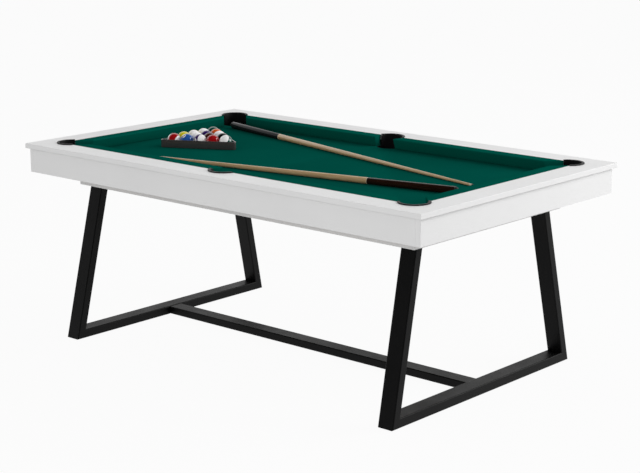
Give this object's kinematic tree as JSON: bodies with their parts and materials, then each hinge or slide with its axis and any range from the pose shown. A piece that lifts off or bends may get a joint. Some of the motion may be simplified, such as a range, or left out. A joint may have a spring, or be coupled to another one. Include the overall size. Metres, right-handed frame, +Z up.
{
  "type": "billiard table",
  "caption": "Pool table with a green cloth bed, white top rails and aprons, drop pockets and black splayed tube legs, with cues, rack and balls laid on it.",
  "frame": {"origin": "on the floor, under the middle of the table", "axes": "+X along the table, away from the rack, +Y across it, +Z up"},
  "size_m": [1.98, 1.184, 0.7953],
  "materials": {
    "white_paint": "satin white paint on board",
    "board": "raw board",
    "softwood": "planed softwood",
    "cloth": "short green wool nap",
    "cushion": "rubber covered in the bed's green cloth",
    "pocket_plastic": "moulded, low sheen",
    "black_steel": "satin black powder coat",
    "zinc_steel": "dull zinc",
    "rack_plastic": "moulded, low sheen",
    "cue_maple": "varnished maple",
    "brown_butt": "dark brown gloss lacquer",
    "black_butt": "black gloss lacquer",
    "cue_tip": "pressed leather",
    "ball_red": "polished resin",
    "ball_blue": "polished resin",
    "ball_purple": "polished resin",
    "ball_maroon": "polished resin",
    "ball_black": "polished resin",
    "ball_yellow": "polished resin",
    "ball_orange": "polished resin",
    "ball_green": "polished resin"
  },
  "bodies": {
    "table": {"apron_angles": "zinc_steel", "bed_beams": "softwood", "bed_cloth": "cloth", "bed_panel": "board", "cushion_blocks": "board", "front_apron": "white_paint", "front_left_cushion": "cushion", "front_left_leg": "black_steel", "front_left_pocket": "pocket_plastic", "front_plinth_board": "white_paint", "front_right_cushion": "cushion", "front_right_leg": "black_steel", "front_right_pocket": "pocket_plastic", "front_side_pocket": "pocket_plastic", "front_top_rail": "white_paint", "left_apron": "white_paint", "left_cushion": "cushion", "left_foot_bar": "black_steel", "left_plinth_board": "white_paint", "left_top_rail": "white_paint", "leg_top_bars": "black_steel", "rear_apron": "white_paint", "rear_left_cushion": "cushion", "rear_left_leg": "black_steel", "rear_left_pocket": "pocket_plastic", "rear_plinth_board": "white_paint", "rear_right_cushion": "cushion", "rear_right_leg": "black_steel", "rear_right_pocket": "pocket_plastic", "rear_side_pocket": "pocket_plastic", "rear_top_rail": "white_paint", "right_apron": "white_paint", "right_cushion": "cushion", "right_foot_bar": "black_steel", "right_plinth_board": "white_paint", "right_top_rail": "white_paint", "stretcher": "black_steel", "top_bar_bolts": "zinc_steel"},
    "rack": {"rack": "rack_plastic"},
    "ball_01": {"ball_01": "ball_red"},
    "ball_02": {"ball_02": "ball_blue"},
    "ball_03": {"ball_03": "ball_purple"},
    "ball_04": {"ball_04": "ball_red"},
    "ball_05": {"ball_05": "ball_green"},
    "ball_06": {"ball_06": "ball_yellow"},
    "ball_07": {"ball_07": "ball_blue"},
    "ball_08": {"ball_08": "ball_maroon"},
    "ball_09": {"ball_09": "ball_black"},
    "ball_10": {"ball_10": "ball_yellow"},
    "ball_11": {"ball_11": "ball_purple"},
    "ball_12": {"ball_12": "ball_orange"},
    "ball_13": {"ball_13": "ball_maroon"},
    "ball_14": {"ball_14": "ball_orange"},
    "ball_15": {"ball_15": "ball_green"},
    "front_cue": {"front_cue_butt": "brown_butt", "front_cue_shaft": "cue_maple", "front_cue_tip": "cue_tip"},
    "rear_cue": {"rear_cue_butt": "black_butt", "rear_cue_shaft": "cue_maple", "rear_cue_tip": "cue_tip"}
  },
  "joints": [
    {"name": "rack_lift", "type": "slide", "parent": "table", "child": "rack", "axis": [0, 0, 1], "range_m": [0, 0.25]},
    {"name": "ball_01_lift", "type": "slide", "parent": "table", "child": "ball_01", "axis": [0, 0, 1], "range_m": [0, 0.15]},
    {"name": "ball_02_lift", "type": "slide", "parent": "table", "child": "ball_02", "axis": [0, 0, 1], "range_m": [0, 0.15]},
    {"name": "ball_03_lift", "type": "slide", "parent": "table", "child": "ball_03", "axis": [0, 0, 1], "range_m": [0, 0.15]},
    {"name": "ball_04_lift", "type": "slide", "parent": "table", "child": "ball_04", "axis": [0, 0, 1], "range_m": [0, 0.15]},
    {"name": "ball_05_lift", "type": "slide", "parent": "table", "child": "ball_05", "axis": [0, 0, 1], "range_m": [0, 0.15]},
    {"name": "ball_06_lift", "type": "slide", "parent": "table", "child": "ball_06", "axis": [0, 0, 1], "range_m": [0, 0.15]},
    {"name": "ball_07_lift", "type": "slide", "parent": "table", "child": "ball_07", "axis": [0, 0, 1], "range_m": [0, 0.15]},
    {"name": "ball_08_lift", "type": "slide", "parent": "table", "child": "ball_08", "axis": [0, 0, 1], "range_m": [0, 0.15]},
    {"name": "ball_09_lift", "type": "slide", "parent": "table", "child": "ball_09", "axis": [0, 0, 1], "range_m": [0, 0.15]},
    {"name": "ball_10_lift", "type": "slide", "parent": "table", "child": "ball_10", "axis": [0, 0, 1], "range_m": [0, 0.15]},
    {"name": "ball_11_lift", "type": "slide", "parent": "table", "child": "ball_11", "axis": [0, 0, 1], "range_m": [0, 0.15]},
    {"name": "ball_12_lift", "type": "slide", "parent": "table", "child": "ball_12", "axis": [0, 0, 1], "range_m": [0, 0.15]},
    {"name": "ball_13_lift", "type": "slide", "parent": "table", "child": "ball_13", "axis": [0, 0, 1], "range_m": [0, 0.15]},
    {"name": "ball_14_lift", "type": "slide", "parent": "table", "child": "ball_14", "axis": [0, 0, 1], "range_m": [0, 0.15]},
    {"name": "ball_15_lift", "type": "slide", "parent": "table", "child": "ball_15", "axis": [0, 0, 1], "range_m": [0, 0.15]},
    {"name": "front_cue_lift", "type": "slide", "parent": "table", "child": "front_cue", "axis": [0, 0, 1], "range_m": [0, 0.3]},
    {"name": "rear_cue_lift", "type": "slide", "parent": "table", "child": "rear_cue", "axis": [0, 0, 1], "range_m": [0, 0.3]}
  ]
}
